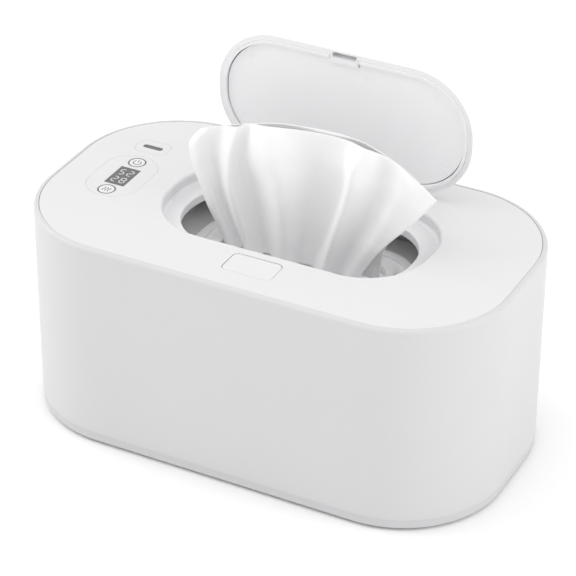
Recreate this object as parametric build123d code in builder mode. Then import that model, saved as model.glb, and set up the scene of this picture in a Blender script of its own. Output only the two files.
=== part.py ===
"""Baby wipe warmer: a heated tub of wet wipes with a spring-opened flip lid, drawn with the lid open.

Frame: millimetres, +Z up, X along the long side, front at -Y, origin at floor level under the middle of
the casing. Every piece is a separate solid in its own node.
"""
import math
import os

from build123d import *

os.makedirs("parts", exist_ok=True)

# ------------------------------------------------------------------ driving sizes: casing
body_length = 240.0
body_width = 135.0
body_height = 108.4
corner_radius = 52.0
shell_wall = 2.4
shell_bottom = 6.4  # height of the shell's lower edge
rim_round = 1.8
shelf_depth = 21.0  # ledge inside the shell that carries the tub, below the top surface
shelf_thickness = 2.5
shelf_width = 4.0
boss_radius = 4.2
boss_height = 26.0  # above the shell's lower edge
boss_setback = 5.6  # axis in from the shell's inner face, at the middle of each corner
screw_radius = 1.5
screw_head_radius = 2.8
screw_head_height = 2.0
base_inset = 0.4
base_underside = 1.5
base_spigot_height = 6.0
base_spigot_wall = 2.0
base_rib_height = 2.4
foot_radius = 7.0
foot_recess = 1.0
foot_end_room = 44.0  # from the casing's ends and sides to the middles of the feet
foot_side_room = 31.5

# clearances shared by all pieces
seam_gap = 0.2  # visible seam round the top cover
fit_gap = 0.3  # loose pieces beside each other
seat_gap = 0.1  # a face that rests on another
pin_gap = 0.05  # radial, round pins and screws

# ------------------------------------------------------------------ driving sizes: tub and heater
tub_end_room = 18.0  # from the casing's outline to the tub's
tub_side_room = 12.5
tub_corner_step = 16.0
tub_wall = 2.0
tub_floor_height = 12.0  # inner face of the floor, above the shell's lower edge
tub_floor_thickness = 2.2
tub_rim_thickness = 2.0
seal_height = 1.8
seal_width = 3.0
sleeve_thickness = 4.0
sleeve_foot_room = 1.0
sleeve_head_room = 2.5
heater_margin = 8.0
heater_film_margin = 12.0
heater_plate_thickness = 1.5
heater_film_thickness = 0.7
thermostat_length = 15.0
thermostat_width = 7.0
thermostat_height = 3.4
thermostat_corner = 1.0
thermal_fuse_radius = 2.0
thermal_fuse_length = 11.0
sensor_place_x = 24.0

# DC inlet in the rear wall
inlet_corner_room = 12.0  # in from the start of the rounded corner
inlet_rise = 16.0  # above the shell's lower edge
inlet_body_radius = 5.2
inlet_bore_radius = 2.85
inlet_bore_depth = 8.0
inlet_pin_radius = 1.0
inlet_flange_radius = 7.0
inlet_flange_thickness = 2.0
inlet_depth = 9.5
inlet_recess = 0.4

# wipes
stack_end_room = 13.0  # between the tub's outline and the wipes
stack_side_room = 9.0
stack_head_room = 5.0
stack_corner = 10.0
stack_edge_round = 2.5
plate_end_room = 3.8
plate_side_overlap = 1.1
plate_corner_step = 8.0
plate_thickness = 3.6
plate_rim = 4.5
plate_groove = 5.0
plate_groove_depth = 1.4
plate_inner_rim = 4.0
plate_edge_round = 0.6

# ------------------------------------------------------------------ driving sizes: top cover
cover_thickness = 2.4
skirt_thickness = 1.8
well_x = 5.5  # middle of the lid, the well and the release button
well_front_room = 34.6  # from the casing's front face
well_rear_room = 30.8
well_length = 133.6
well_corner_step = 3.8  # what the corners lack of a half circle
well_wall = 2.0
well_edge_round = 1.2
well_wall_depth = 4.5  # down to the parting line with the outlet frame
ledge_depth = 6.4
frame_thickness = 2.0
frame_hollow_round = 1.7
frame_edge_round = 0.6
ledge_end_width = 8.5
ledge_front_width = 5.5
ledge_rear_width = 8.3
outlet_corner_step = 1.4
collar_depth = 2.0
collar_wall = 1.4

# lid
lid_gap = 0.5
lid_proud = 0.2
lid_thickness = 5.6
lid_rear_room = 4.6  # trough behind the closed lid
lid_edge_round = 2.4
lid_rim = 2.4
lid_skin = 2.0
lid_seal_width = 1.5
lid_seal_proud = 0.7
lid_panel_gap = 0.5
lid_panel_thickness = 1.6
lid_panel_recess = 0.9
lid_mark_radius = 2.0
lid_mark_depth = 0.25
lid_stake_radius = 2.6
# stake marks: place along the lid, which long edge they belong to, and their distance from that edge
lid_marks = [
    (-48.0, 1, 13.75),
    (48.0, 1, 13.75),
    (12.5, 1, 11.05),
    (-52.6, -1, 18.25),
    (52.6, -1, 18.25),
    (-12.5, -1, 13.25),
]

# lid hinge
hinge_setback = 6.1  # axis behind the well's rear edge
hinge_drop = 8.6  # axis below the top surface
hinge_pin_radius = 1.5
knuckle_radius = 4.0
arm_width = 13.0
arm_spacing = 45.0
arm_inner_face = 4.2  # gooseneck faces, behind the axis with the lid open
arm_reach = 8.0
arm_overlap = 2.0
arm_turn = 30.0
bay_half_width = 30.0
bay_cheek = 4.0
bay_wall = 1.6
stop_gap = 0.25
spring_wire = 0.3
spring_turns = 9
spring_end_gap = 0.15
latch_spring_turns = 6
lid_spring_radius = 2.6
lid_spring_length = 20.0

# ------------------------------------------------------------------ driving sizes: release latch
button_length = 25.0
button_width = 15.0
button_corner = 3.0
button_room = 13.0  # from the well's front edge to the button's middle
button_height = 4.1
button_skin = 2.0
button_edge_round = 0.4
button_tab = 1.4
button_tab_width = 10.0
button_tab_height = 1.4
button_travel = 2.0
# rooms are measured from the well's front edge, depths from the top surface
wedge_half_width = 4.5
wedge_top_room = 13.4
wedge_foot_room = 10.1
wedge_back_room = 8.1
wedge_top_depth = 8.0
wedge_bottom_depth = 14.0
latch_half_width = 6.0
latch_front_room = 20.1
latch_depth = 16.2
latch_post_room = 5.5
latch_post_thickness = 1.8
latch_arm_depth = 13.4
latch_arm_height = 2.0
hook_thickness = 1.0
hook_depth = 3.0
hook_play = 0.25
catch_inner_room = 6.05  # from the lid's free edge
catch_outer_room = 3.35
catch_half_width = 7.2
notch_room = 0.85
notch_half_width = 6.2
notch_depth = 3.2
housing_half_width = 14.8
housing_wall = 1.5
housing_front_room = 28.3
housing_depth = 18.0
button_spring_radius = 1.1

# ------------------------------------------------------------------ driving sizes: controls
panel_end_room = 31.5  # from the casing's left end to the panel's middle
panel_y = -1.2
panel_length = 41.2
panel_width = 27.0
panel_corner = 13.0
panel_thickness = 1.0
panel_gap = 0.1
key_radius = 4.25
key_gap = 0.25
key_height = 3.6
key_flange = 0.9
key_flange_height = 1.0
key_stem_radius = 1.5
key_travel = 0.6
power_key_y = 13.2
heat_key_y = -15.7
display_shift = 0.5  # to the right of the panel's middle
display_y = -1.6
display_length = 16.8
display_width = 10.5
display_corner = 0.3
indicator_shift = -0.7
indicator_y = 29.8
indicator_length = 10.5
indicator_width = 2.9
indicator_frame_length = 17.5
indicator_frame_width = 12.0
indicator_frame_corner = 4.6
indicator_frame_thickness = 0.8
tray_end_room = 16.0
tray_well_room = 2.2
tray_front_room = 34.5
tray_rear_room = 29.5
tray_corner = 9.0
tray_wall = 1.6
tray_depth = 16.0
board_depth = 11.8  # underside of the board, below the top surface
board_thickness = 1.6
board_margin = 3.0
switch_size = 6.0
switch_height = 3.5
post_radius = 3.0
cover_screw_length = 8.0

# ------------------------------------------------------------------ sizes that follow from the driving ones
foot_place_x = body_length / 2 - foot_end_room
foot_place_y = body_width / 2 - foot_side_room
shelf_top = body_height - shelf_depth
boss_top = shell_bottom + boss_height
tub_length = body_length - 2 * tub_end_room
tub_width = body_width - 2 * tub_side_room
tub_corner = corner_radius - tub_corner_step
tub_floor_top = shell_bottom + tub_floor_height
sleeve_bottom = boss_top + sleeve_foot_room
sleeve_top = shelf_top - shelf_thickness - sleeve_head_room
inlet_x = body_length / 2 - corner_radius - inlet_corner_room
inlet_height = shell_bottom + inlet_rise
stack_length = tub_length - 2 * stack_end_room
stack_width = tub_width - 2 * stack_side_room
stack_top = shelf_top - stack_head_room
cover_underside = body_height - cover_thickness
tub_rim_top = shelf_top + tub_rim_thickness
seal_top = tub_rim_top + seal_height
skirt_bottom = seal_top + seat_gap
ledge_top = body_height - ledge_depth
frame_top = body_height - well_wall_depth - seat_gap
frame_underside = ledge_top - frame_thickness
cover_inset = shell_wall + seam_gap
well_front = -body_width / 2 + well_front_room
well_rear = body_width / 2 - well_rear_room
well_width = well_rear - well_front
well_corner = well_width / 2 - well_corner_step
well_middle = (well_x, (well_rear + well_front) / 2)
outlet_length = well_length - 2 * ledge_end_width
outlet_front = well_front + ledge_front_width
outlet_rear = well_rear - ledge_rear_width
outlet_width = outlet_rear - outlet_front
outlet_corner = outlet_width / 2 - outlet_corner_step
outlet_middle = (well_x, (outlet_rear + outlet_front) / 2)
plate_length = outlet_length - 2 * plate_end_room
plate_width = outlet_width + 2 * plate_side_overlap
plate_corner = plate_width / 2 - plate_corner_step

lid_length = well_length - 2 * lid_gap
lid_width = well_width - lid_gap - lid_rear_room
lid_corner = well_corner - lid_gap
lid_closed_face = body_height + lid_proud - lid_thickness
lid_closed_y = well_front + lid_gap + lid_width / 2
hinge_y = well_rear + hinge_setback
hinge_z = body_height - hinge_drop
catch_inner = lid_width / 2 - catch_inner_room
catch_outer = lid_width / 2 - catch_outer_room
notch_outer = lid_width / 2 - notch_room
lid_mark_places = [(x, side * (lid_width / 2 - room)) for x, side, room in lid_marks]

button_y = well_front - button_room
wedge_top_y = well_front - wedge_top_room
wedge_foot_y = well_front - wedge_foot_room
wedge_back_y = well_front - wedge_back_room
wedge_top = body_height - wedge_top_depth
wedge_bottom = body_height - wedge_bottom_depth
latch_front_y = well_front - latch_front_room
latch_post_y = well_front - latch_post_room
latch_underside = body_height - latch_depth
latch_arm_underside = body_height - latch_arm_depth
hook_top = body_height - hook_depth
housing_front_y = well_front - housing_front_room
housing_underside = body_height - housing_depth
button_spring_place = button_length / 2 - button_skin - button_spring_radius - spring_wire - fit_gap
latch_travel = button_travel * (wedge_foot_y - wedge_top_y) / (wedge_top - wedge_bottom)

panel_x = -body_length / 2 + panel_end_room
key_x = panel_x
display_x = panel_x + display_shift
indicator_x = panel_x + indicator_shift
tray_left = -body_length / 2 + tray_end_room
tray_right = well_x - well_length / 2 - well_wall - tray_well_room
tray_front = -body_width / 2 + tray_front_room
tray_rear = body_width / 2 - tray_rear_room
tray_underside = body_height - tray_depth
board_underside = body_height - board_depth

# a quarter turn about the axis stands the closed lid upright
lid_open_y = hinge_y + (lid_closed_face - hinge_z)
lid_open_z = hinge_z + (hinge_y - lid_closed_y)
# local x along the lid, local y up, local z towards the user
lid_plane = Plane(origin=(well_x, lid_open_y, lid_open_z), x_dir=(1, 0, 0), z_dir=(0, -1, 0))


def casing_outline(inset, mode=Mode.ADD):
    """Plan outline of the casing, drawn inwards from its outer face."""
    RectangleRounded(
        body_length - 2 * inset, body_width - 2 * inset, corner_radius - inset, mode=mode
    )


def tub_outline(outset, mode=Mode.ADD):
    """Plan outline of the tub, drawn outwards from its outer face."""
    RectangleRounded(
        tub_length + 2 * outset, tub_width + 2 * outset, tub_corner + outset, mode=mode
    )


def well_outline(outset, mode=Mode.ADD):
    """Plan outline of the well that holds the closed lid."""
    with Locations(well_middle):
        RectangleRounded(
            well_length + 2 * outset, well_width + 2 * outset, well_corner + outset, mode=mode
        )


def outlet_outline(outset, mode=Mode.ADD):
    """Plan outline of the opening that the wipes come out of."""
    with Locations(outlet_middle):
        RectangleRounded(
            outlet_length + 2 * outset, outlet_width + 2 * outset, outlet_corner + outset, mode=mode
        )


def lid_outline(inset, mode=Mode.ADD):
    """Outline of the lid in its own plane."""
    RectangleRounded(lid_length - 2 * inset, lid_width - 2 * inset, lid_corner - inset, mode=mode)


def plate_outline(inset, mode=Mode.ADD):
    """Plan outline of the plate that lies on the wipes."""
    with Locations((well_x, 0)):
        RectangleRounded(
            plate_length - 2 * inset, plate_width - 2 * inset, plate_corner - inset, mode=mode
        )


def block(low, high, mode=Mode.ADD):
    """Box between two opposite corners."""
    middle = tuple((a + b) / 2 for a, b in zip(low, high))
    with Locations(middle):
        Box(high[0] - low[0], high[1] - low[1], high[2] - low[2], mode=mode)


# ------------------------------------------------------------------ outer shell
boss_offset = (corner_radius - shell_wall - boss_setback) * math.sin(math.radians(45))
boss_x = body_length / 2 - corner_radius + boss_offset
boss_y = body_width / 2 - corner_radius + boss_offset
boss_places = [(boss_x, boss_y), (-boss_x, boss_y), (-boss_x, -boss_y), (boss_x, -boss_y)]
base_top = shell_bottom
spigot_top = base_top + base_spigot_height

with BuildPart() as outer_shell:
    with BuildSketch(Plane.XY.offset(shell_bottom)):
        casing_outline(0)
        casing_outline(shell_wall, mode=Mode.SUBTRACT)
    extrude(amount=body_height - shell_bottom)
    fillet(outer_shell.faces().sort_by(Axis.Z)[-1].outer_wire().edges(), rim_round)
    with BuildSketch(Plane.XY.offset(shelf_top - shelf_thickness)):
        casing_outline(shell_wall)
        casing_outline(shell_wall + shelf_width, mode=Mode.SUBTRACT)
    extrude(amount=shelf_thickness)
    # four screw bosses, each tied to the corner by a rib
    with BuildSketch(Plane.XY.offset(spigot_top + fit_gap)):
        with Locations(boss_places):
            Circle(boss_radius)
        for x, y in boss_places:
            turn = math.degrees(math.atan2(math.copysign(1, y), math.copysign(1, x)))
            with Locations(Location((x, y, 0), (0, 0, turn))):
                with Locations((boss_setback / 2, 0)):
                    Rectangle(boss_setback + shell_wall / 2, shell_wall)
    extrude(amount=boss_top - spigot_top - fit_gap)
    with BuildSketch(Plane.XY.offset(spigot_top)):
        with Locations(boss_places):
            Circle(screw_radius + pin_gap)
    extrude(amount=boss_top - spigot_top - shell_wall, mode=Mode.SUBTRACT)
    # round hole for the DC inlet
    with BuildSketch(Plane.XZ.offset(-body_width / 2)):
        with Locations((inlet_x, inlet_height)):
            Circle(inlet_body_radius + fit_gap)
    extrude(amount=shell_wall, mode=Mode.SUBTRACT)

# ------------------------------------------------------------------ base pan
with BuildPart() as base_pan:
    with BuildSketch(Plane.XY.offset(base_underside)):
        casing_outline(base_inset)
    extrude(amount=base_top - base_underside)
    chamfer(base_pan.faces().sort_by(Axis.Z)[0].edges(), base_inset)
    with BuildSketch(Plane.XY.offset(base_top)):
        casing_outline(shell_wall + fit_gap)
        casing_outline(shell_wall + fit_gap + base_spigot_wall, mode=Mode.SUBTRACT)
    extrude(amount=base_spigot_height)
    with BuildSketch(Plane.XY.offset(base_top)):
        with GridLocations(0, tub_width / 3, 1, 3):
            Rectangle(tub_length - 2 * tub_corner, base_spigot_wall)
        with Locations(boss_places):
            Circle(boss_radius)
    extrude(amount=base_rib_height)
    with BuildSketch(Plane.XY.offset(base_top)):
        with Locations(boss_places):
            Circle(boss_radius)
    extrude(amount=base_spigot_height)
    with BuildSketch(Plane.XY.offset(base_underside)):
        with Locations(boss_places):
            Circle(screw_radius + pin_gap)
    extrude(amount=spigot_top - base_underside, mode=Mode.SUBTRACT)
    with BuildSketch(Plane.XY.offset(base_underside)):
        with Locations(boss_places):
            Circle(screw_head_radius + fit_gap)
        with GridLocations(2 * foot_place_x, 2 * foot_place_y, 2, 2):
            Circle(foot_radius + pin_gap)
    extrude(amount=foot_recess, mode=Mode.SUBTRACT)
    with BuildSketch(Plane.XY.offset(base_underside)):
        with Locations(boss_places):
            Circle(screw_head_radius + fit_gap)
    extrude(amount=screw_head_height + fit_gap, mode=Mode.SUBTRACT)

with BuildPart() as rubber_feet:
    with BuildSketch(Plane.XY):
        with GridLocations(2 * foot_place_x, 2 * foot_place_y, 2, 2):
            Circle(foot_radius)
    extrude(amount=base_underside + foot_recess)
    foot_edges = rubber_feet.edges().filter_by(GeomType.CIRCLE).group_by(Axis.Z)[0]
    chamfer(foot_edges, base_underside / 3)

with BuildPart() as base_screws:
    with BuildSketch(Plane.XY.offset(base_underside + fit_gap)):
        with Locations(boss_places):
            Circle(screw_head_radius)
    extrude(amount=screw_head_height)
    with BuildSketch(Plane.XY.offset(base_underside + fit_gap + screw_head_height)):
        with Locations(boss_places):
            Circle(screw_radius)
    extrude(amount=boss_top - spigot_top - shell_wall)

# ------------------------------------------------------------------ tub that holds the wipes
tub_underside = tub_floor_top - tub_floor_thickness
with BuildPart() as inner_tub:
    with BuildSketch(Plane.XY.offset(tub_underside)):
        tub_outline(0)
    extrude(amount=tub_rim_top - tub_underside)
    fillet(inner_tub.faces().sort_by(Axis.Z)[0].edges(), 2 * tub_wall)
    with BuildSketch(Plane.XY.offset(tub_rim_top - tub_rim_thickness + seat_gap)):
        casing_outline(shell_wall + fit_gap)
    extrude(amount=tub_rim_thickness - seat_gap)
    with BuildSketch(Plane.XY.offset(tub_floor_top)):
        tub_outline(-tub_wall)
    extrude(amount=tub_rim_top - tub_floor_top, mode=Mode.SUBTRACT)
    fillet(inner_tub.faces().filter_by(Plane.XY).sort_by(Axis.Z)[1].edges(), tub_wall)

with BuildPart() as chamber_seal:
    with BuildSketch(Plane.XY.offset(tub_rim_top)):
        casing_outline(shell_wall + 2 * fit_gap)
        casing_outline(shell_wall + 2 * fit_gap + seal_width, mode=Mode.SUBTRACT)
    extrude(amount=seal_height)

# ------------------------------------------------------------------ heater under the tub
plate_underside = tub_underside - heater_plate_thickness
film_underside = plate_underside - heater_film_thickness
pad_bottom = base_top + base_rib_height
pad_top = film_underside - fit_gap
sensor_underside = film_underside - thermostat_height

with BuildPart() as heater_plate:
    with BuildSketch(Plane.XY.offset(plate_underside)):
        tub_outline(-heater_margin)
    extrude(amount=heater_plate_thickness)

with BuildPart() as heater_film:
    with BuildSketch(Plane.XY.offset(film_underside)):
        tub_outline(-heater_film_margin)
    extrude(amount=heater_film_thickness)

with BuildPart() as thermostat:
    with BuildSketch(Plane.XY.offset(sensor_underside)):
        with Locations((-sensor_place_x, 0)):
            RectangleRounded(thermostat_length, thermostat_width, thermostat_corner)
    extrude(amount=thermostat_height)

with BuildPart() as thermal_fuse:
    fuse_plane = Plane.YZ.offset(sensor_place_x - thermal_fuse_length / 2)
    with BuildSketch(fuse_plane):
        with Locations((0, film_underside - thermal_fuse_radius)):
            Circle(thermal_fuse_radius)
    extrude(amount=thermal_fuse_length)

with BuildPart() as insulation_pad:
    with BuildSketch(Plane.XY.offset(pad_bottom)):
        tub_outline(-heater_margin)
        with Locations((-sensor_place_x, 0)):
            Rectangle(
                thermostat_length + 2 * fit_gap, thermostat_width + 2 * fit_gap, mode=Mode.SUBTRACT
            )
        with Locations((sensor_place_x, 0)):
            Rectangle(
                thermal_fuse_length + 2 * fit_gap, thermostat_width + 2 * fit_gap, mode=Mode.SUBTRACT
            )
    extrude(amount=pad_top - pad_bottom)

with BuildPart() as insulation_sleeve:
    with BuildSketch(Plane.XY.offset(sleeve_bottom)):
        tub_outline(fit_gap + sleeve_thickness)
        tub_outline(fit_gap, mode=Mode.SUBTRACT)
    extrude(amount=sleeve_top - sleeve_bottom)

# ------------------------------------------------------------------ DC inlet in the rear wall
inlet_face = body_width / 2 - inlet_recess
wall_inner_face = body_width / 2 - shell_wall
with BuildPart() as dc_inlet:
    with BuildSketch(Plane.XZ.offset(-inlet_face)):
        with Locations((inlet_x, inlet_height)):
            Circle(inlet_body_radius)
    extrude(amount=inlet_depth)
    with BuildSketch(Plane.XZ.offset(-wall_inner_face + seat_gap)):
        with Locations((inlet_x, inlet_height)):
            Circle(inlet_flange_radius)
    extrude(amount=inlet_flange_thickness)
    with BuildSketch(Plane.XZ.offset(-inlet_face)):
        with Locations((inlet_x, inlet_height)):
            Circle(inlet_bore_radius)
    extrude(amount=inlet_bore_depth, mode=Mode.SUBTRACT)
    with BuildSketch(Plane.XZ.offset(-inlet_face + inlet_pin_radius)):
        with Locations((inlet_x, inlet_height)):
            Circle(inlet_pin_radius)
    extrude(amount=inlet_bore_depth - inlet_pin_radius)

# ------------------------------------------------------------------ wipes and the plate that lies on them
with BuildPart() as wipe_stack:
    with BuildSketch(Plane.XY.offset(tub_floor_top + fit_gap)):
        RectangleRounded(stack_length, stack_width, stack_corner)
    extrude(amount=stack_top - tub_floor_top - fit_gap)
    fillet(wipe_stack.faces().sort_by(Axis.Z)[-1].edges(), stack_edge_round)

plate_bottom = stack_top + fit_gap
plate_top = plate_bottom + plate_thickness
with BuildPart() as press_plate:
    with BuildSketch(Plane.XY.offset(plate_bottom)):
        plate_outline(0)
        plate_outline(plate_rim + plate_groove + plate_inner_rim, mode=Mode.SUBTRACT)
    extrude(amount=plate_thickness)
    fillet(press_plate.faces().sort_by(Axis.Z)[-1].edges(), plate_edge_round)
    with BuildSketch(Plane.XY.offset(plate_top - plate_groove_depth)):
        plate_outline(plate_rim)
        plate_outline(plate_rim + plate_groove, mode=Mode.SUBTRACT)
    extrude(amount=plate_groove_depth, mode=Mode.SUBTRACT)

# ------------------------------------------------------------------ top cover
bay_rear = hinge_y + arm_reach + stop_gap
bay_front = hinge_y - knuckle_radius - fit_gap
bay_floor = hinge_z - knuckle_radius - 2 * fit_gap
bay_sill = lid_closed_face + seat_gap
key_hole_radius = key_radius + key_gap
hook_rear = lid_closed_y - catch_outer - hook_play
hook_front = hook_rear - hook_thickness
tray_middle = ((tray_left + tray_right) / 2, (tray_front + tray_rear) / 2)
tray_posts = [
    (tray_right - 2 * post_radius, tray_rear - 2 * post_radius),
    (tray_right - 2 * post_radius, tray_front + 2 * post_radius),
]
housing_posts = [
    (well_x - housing_half_width - housing_wall - post_radius, button_y),
    (well_x + housing_half_width + housing_wall + post_radius, button_y),
]
tray_floor_top = tray_underside + tray_wall
housing_floor_top = housing_underside + housing_wall

with BuildPart() as top_cover:
    with BuildSketch(Plane.XY.offset(cover_underside)):
        casing_outline(cover_inset)
    extrude(amount=cover_thickness)
    chamfer(top_cover.faces().sort_by(Axis.Z)[-1].edges(), seam_gap)
    with BuildSketch(Plane.XY.offset(skirt_bottom)):
        casing_outline(cover_inset)
        casing_outline(cover_inset + skirt_thickness, mode=Mode.SUBTRACT)
    extrude(amount=cover_underside - skirt_bottom)
    with BuildSketch(Plane.XY.offset(body_height - well_wall_depth)):
        well_outline(well_wall)
    extrude(amount=well_wall_depth - cover_thickness)
    # pocket behind the well for the hinge
    block(
        (well_x - bay_half_width - bay_cheek, well_rear, bay_floor - bay_wall),
        (well_x + bay_half_width + bay_cheek, bay_rear + bay_wall, cover_underside),
    )
    with BuildSketch(Plane.XY.offset(body_height - well_wall_depth)):
        well_outline(0)
    extrude(amount=well_wall_depth, mode=Mode.SUBTRACT)
    well_rim = top_cover.faces().sort_by(Axis.Z)[-1].inner_wires()[0].edges()
    fillet(well_rim, well_edge_round)
    block(
        (well_x - bay_half_width, bay_front, bay_floor),
        (well_x + bay_half_width, bay_rear, body_height),
        mode=Mode.SUBTRACT,
    )
    block(
        (well_x - bay_half_width, well_rear - well_edge_round, bay_sill),
        (well_x + bay_half_width, bay_rear, body_height),
        mode=Mode.SUBTRACT,
    )
    with BuildSketch(Plane.YZ.offset(well_x - bay_half_width - bay_cheek)):
        with Locations((hinge_y, hinge_z)):
            Circle(hinge_pin_radius + pin_gap)
    extrude(amount=2 * (bay_half_width + bay_cheek), mode=Mode.SUBTRACT)
    # window for the release button
    with BuildSketch(Plane.XY.offset(cover_underside)):
        with Locations((well_x, button_y)):
            RectangleRounded(
                button_length + 2 * fit_gap, button_width + 2 * fit_gap, button_corner + fit_gap
            )
    extrude(amount=cover_thickness, mode=Mode.SUBTRACT)
    # recesses for the control panel and the indicator frame
    with BuildSketch(Plane.XY.offset(body_height - panel_thickness)):
        with Locations((panel_x, panel_y)):
            RectangleRounded(
                panel_width + 2 * panel_gap, panel_length + 2 * panel_gap, panel_corner + panel_gap
            )
    extrude(amount=panel_thickness, mode=Mode.SUBTRACT)
    with BuildSketch(Plane.XY.offset(body_height - indicator_frame_thickness)):
        with Locations((indicator_x, indicator_y)):
            RectangleRounded(
                indicator_frame_length + 2 * panel_gap,
                indicator_frame_width + 2 * panel_gap,
                indicator_frame_corner + panel_gap,
            )
    extrude(amount=indicator_frame_thickness, mode=Mode.SUBTRACT)
    with BuildSketch(Plane.XY.offset(cover_underside)):
        with Locations((key_x, power_key_y), (key_x, heat_key_y)):
            Circle(key_hole_radius)
        with Locations((display_x, display_y)):
            Rectangle(display_width + 2 * panel_gap, display_length + 2 * panel_gap)
        with Locations((indicator_x, indicator_y)):
            SlotOverall(indicator_length + 2 * panel_gap, indicator_width + 2 * panel_gap)
    extrude(amount=cover_thickness, mode=Mode.SUBTRACT)
    # screw posts under the cover
    with BuildSketch(Plane.XY.offset(tray_floor_top + seat_gap)):
        with Locations(tray_posts):
            Circle(post_radius)
    extrude(amount=cover_underside - tray_floor_top - seat_gap)
    with BuildSketch(Plane.XY.offset(housing_floor_top + seat_gap)):
        with Locations(housing_posts):
            Circle(post_radius)
    extrude(amount=cover_underside - housing_floor_top - seat_gap)
    with BuildSketch(Plane.XY.offset(housing_floor_top)):
        with Locations(tray_posts + housing_posts):
            Circle(screw_radius + pin_gap)
    extrude(amount=cover_underside - housing_floor_top - fit_gap, mode=Mode.SUBTRACT)

# ------------------------------------------------------------------ outlet frame: ledge round the opening
with BuildPart() as outlet_frame:
    with BuildSketch(Plane.XY.offset(frame_underside)):
        well_outline(well_wall)
        outlet_outline(0, mode=Mode.SUBTRACT)
    extrude(amount=frame_top - frame_underside)
    with BuildSketch(Plane.XY.offset(ledge_top)):
        well_outline(0)
    extrude(amount=frame_top - ledge_top, mode=Mode.SUBTRACT)
    ledge = outlet_frame.faces().filter_by(Plane.XY).group_by(Axis.Z)[-2].sort_by(SortBy.AREA)[-1]
    fillet(ledge.outer_wire().edges(), frame_hollow_round)
    fillet(
        outlet_frame.faces().filter_by(Plane.XY).group_by(Axis.Z)[-2][0].inner_wires()[0].edges(),
        frame_edge_round,
    )
    with BuildSketch(Plane.XY.offset(frame_underside - collar_depth)):
        outlet_outline(collar_wall)
        outlet_outline(0, mode=Mode.SUBTRACT)
    extrude(amount=collar_depth)
    # room for the hinge pocket behind and for the latch hook in front
    block(
        (well_x - bay_half_width - bay_cheek - fit_gap, well_rear - fit_gap, frame_underside),
        (well_x + bay_half_width + bay_cheek + fit_gap, bay_rear, frame_top),
        mode=Mode.SUBTRACT,
    )
    block(
        (well_x - notch_half_width, hook_front - latch_travel - fit_gap, frame_underside),
        (well_x + notch_half_width, hook_rear + fit_gap, frame_top),
        mode=Mode.SUBTRACT,
    )

# ------------------------------------------------------------------ flip lid, open
arm_plane_x = [
    well_x - arm_spacing / 2 - arm_width / 2,
    well_x + arm_spacing / 2 - arm_width / 2,
]
lid_foot = lid_open_z - lid_width / 2 - hinge_z
arm_top = lid_foot + arm_overlap

with BuildPart() as flip_lid:
    with BuildSketch(lid_plane.offset(-lid_thickness)):
        lid_outline(0)
    extrude(amount=lid_thickness)
    fillet(flip_lid.faces().sort_by(Axis.Y)[-1].edges(), lid_edge_round)
    with BuildSketch(lid_plane):
        lid_outline(lid_rim)
    extrude(amount=-(lid_thickness - lid_skin), mode=Mode.SUBTRACT)
    # pocket in the rim for the latch hook
    with BuildSketch(lid_plane):
        with Locations((0, (catch_outer + notch_outer) / 2)):
            Rectangle(2 * notch_half_width, notch_outer - catch_outer)
    extrude(amount=-notch_depth, mode=Mode.SUBTRACT)
    # stakes that carry the inner panel
    with BuildSketch(lid_plane.offset(-(lid_thickness - lid_skin))):
        with Locations(lid_mark_places):
            Circle(lid_stake_radius)
    extrude(amount=lid_thickness - lid_skin - lid_panel_recess - lid_panel_thickness)
    # two goosenecks down to the hinge pin
    for x in arm_plane_x:
        with BuildSketch(Plane(origin=(x, hinge_y, hinge_z), x_dir=(0, 1, 0), z_dir=(1, 0, 0))):
            with BuildLine():
                turn_end = (
                    arm_reach * math.cos(math.radians(arm_turn)),
                    -arm_reach * math.sin(math.radians(arm_turn)),
                )
                Polyline((arm_inner_face, arm_top), (arm_reach, arm_top), (arm_reach, 0))
                CenterArc((0, 0), arm_reach, -arm_turn, arm_turn)
                Polyline(turn_end, (0, -knuckle_radius))
                CenterArc((0, 0), knuckle_radius, 90, 180)
                Polyline((0, knuckle_radius), (arm_inner_face, knuckle_radius), (arm_inner_face, arm_top))
            make_face()
            Circle(hinge_pin_radius + pin_gap, mode=Mode.SUBTRACT)
        extrude(amount=arm_width)

lid_seal_outer = lid_rim + seat_gap
lid_seal_inner = lid_seal_outer + lid_seal_width
with BuildPart() as lid_seal:
    with BuildSketch(lid_plane.offset(-(lid_thickness - lid_skin))):
        lid_outline(lid_seal_outer)
        lid_outline(lid_seal_inner, mode=Mode.SUBTRACT)
        with Locations((0, lid_width / 2)):
            Rectangle(2 * (catch_half_width + fit_gap), 2 * lid_seal_inner + lid_rim, mode=Mode.SUBTRACT)
    extrude(amount=lid_thickness - lid_skin + lid_seal_proud)

with BuildPart() as lid_panel:
    with BuildSketch(lid_plane.offset(-lid_panel_recess - lid_panel_thickness)):
        lid_outline(lid_seal_inner + lid_panel_gap)
        with Locations((0, lid_width / 2)):
            Rectangle(
                2 * (catch_half_width + fit_gap),
                lid_width - 2 * catch_inner + 2 * fit_gap,
                mode=Mode.SUBTRACT,
            )
    extrude(amount=lid_panel_thickness)
    with BuildSketch(lid_plane.offset(-lid_panel_recess)):
        with Locations(lid_mark_places):
            Circle(lid_mark_radius)
    extrude(amount=-lid_mark_depth, mode=Mode.SUBTRACT)

with BuildPart() as lid_catch:
    with BuildSketch(lid_plane.offset(-(lid_thickness - lid_skin))):
        with Locations((0, (catch_inner + lid_width / 2 - lid_rim) / 2)):
            Rectangle(2 * catch_half_width, lid_width / 2 - lid_rim - catch_inner - seat_gap)
        with Locations((0, lid_width / 2)):
            Rectangle(2 * notch_half_width, lid_width - 2 * catch_outer, mode=Mode.SUBTRACT)
    extrude(amount=lid_thickness - lid_skin + lid_seal_proud)

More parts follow.
